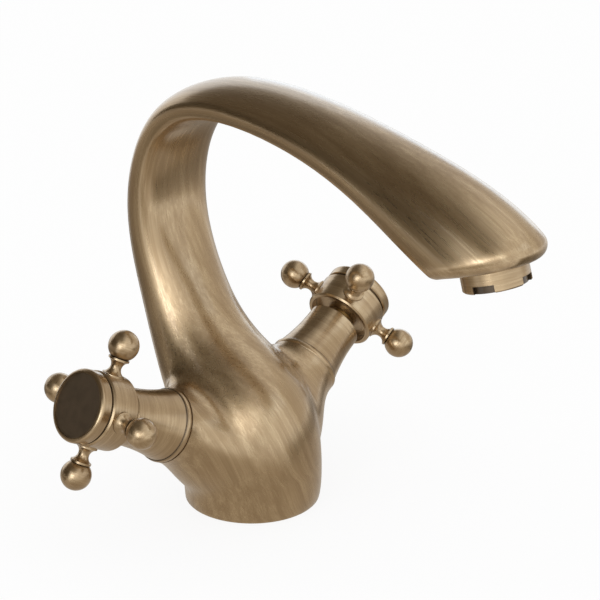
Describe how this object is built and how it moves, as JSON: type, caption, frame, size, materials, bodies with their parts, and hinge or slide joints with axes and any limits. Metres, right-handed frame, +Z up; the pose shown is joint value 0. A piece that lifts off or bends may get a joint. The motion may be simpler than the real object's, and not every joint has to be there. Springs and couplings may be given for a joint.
{
  "type": "cross handle tap",
  "caption": "Deck-mounted two-handle swan-neck tap with cross handles, a flattened down-curving spout, an aerator outlet and quarter-turn ceramic valves, in brushed antique bronze.",
  "frame": {"origin": "centre of the circular base's underside, where the tap stands on the deck", "axes": "+Z up; the spout points to -Y; the hot handle is at -X and the cold handle at +X"},
  "size_m": [0.165, 0.1832, 0.1634],
  "materials": {
    "antique_bronze": "brushed antique bronze",
    "dark_bronze": "dark patinated bronze",
    "raw_brass": "machined brass",
    "ceramic": "lapped alumina ceramic",
    "black_rubber": "moulded rubber",
    "white_plastic": "moulded acetal",
    "stainless_steel": "bright stainless steel"
  },
  "bodies": {
    "root": {"body_casting": "antique_bronze", "base_seal": "black_rubber", "aerator_housing": "antique_bronze", "aerator_insert": "white_plastic", "aerator_washer": "black_rubber", "hot_trim_ring": "antique_bronze", "hot_bonnet": "antique_bronze", "hot_cartridge_housing": "raw_brass", "hot_fixed_ceramic_disc": "ceramic", "hot_seat_seal": "black_rubber", "hot_housing_o_ring": "black_rubber", "cold_trim_ring": "antique_bronze", "cold_bonnet": "antique_bronze", "cold_cartridge_housing": "raw_brass", "cold_fixed_ceramic_disc": "ceramic", "cold_seat_seal": "black_rubber", "cold_housing_o_ring": "black_rubber"},
    "hot_handle": {"hot_handle_hub": "antique_bronze", "hot_handle_cap": "antique_bronze", "hot_index_disc": "dark_bronze", "hot_handle_screw": "stainless_steel", "hot_spindle": "raw_brass", "hot_moving_ceramic_disc": "ceramic", "hot_spindle_o_ring": "black_rubber", "hot_spindle_clip": "stainless_steel", "hot_ball_arm_1": "antique_bronze", "hot_ball_arm_2": "antique_bronze", "hot_ball_arm_3": "antique_bronze", "hot_ball_arm_4": "antique_bronze"},
    "cold_handle": {"cold_handle_hub": "antique_bronze", "cold_handle_cap": "antique_bronze", "cold_index_disc": "dark_bronze", "cold_handle_screw": "stainless_steel", "cold_spindle": "raw_brass", "cold_moving_ceramic_disc": "ceramic", "cold_spindle_o_ring": "black_rubber", "cold_spindle_clip": "stainless_steel", "cold_ball_arm_1": "antique_bronze", "cold_ball_arm_2": "antique_bronze", "cold_ball_arm_3": "antique_bronze", "cold_ball_arm_4": "antique_bronze"}
  },
  "joints": [
    {"name": "hot_handle_turn", "type": "hinge", "parent": "root", "child": "hot_handle", "pos_m": [-0.0664, 0.01128, 0.05355], "axis": [-0.8883, 0.0974, 0.4489], "range_deg": [0, 90]},
    {"name": "cold_handle_turn", "type": "hinge", "parent": "root", "child": "cold_handle", "pos_m": [0.0664, 0.01128, 0.05355], "axis": [0.8883, 0.0974, 0.4489], "range_deg": [-90, 0]}
  ]
}
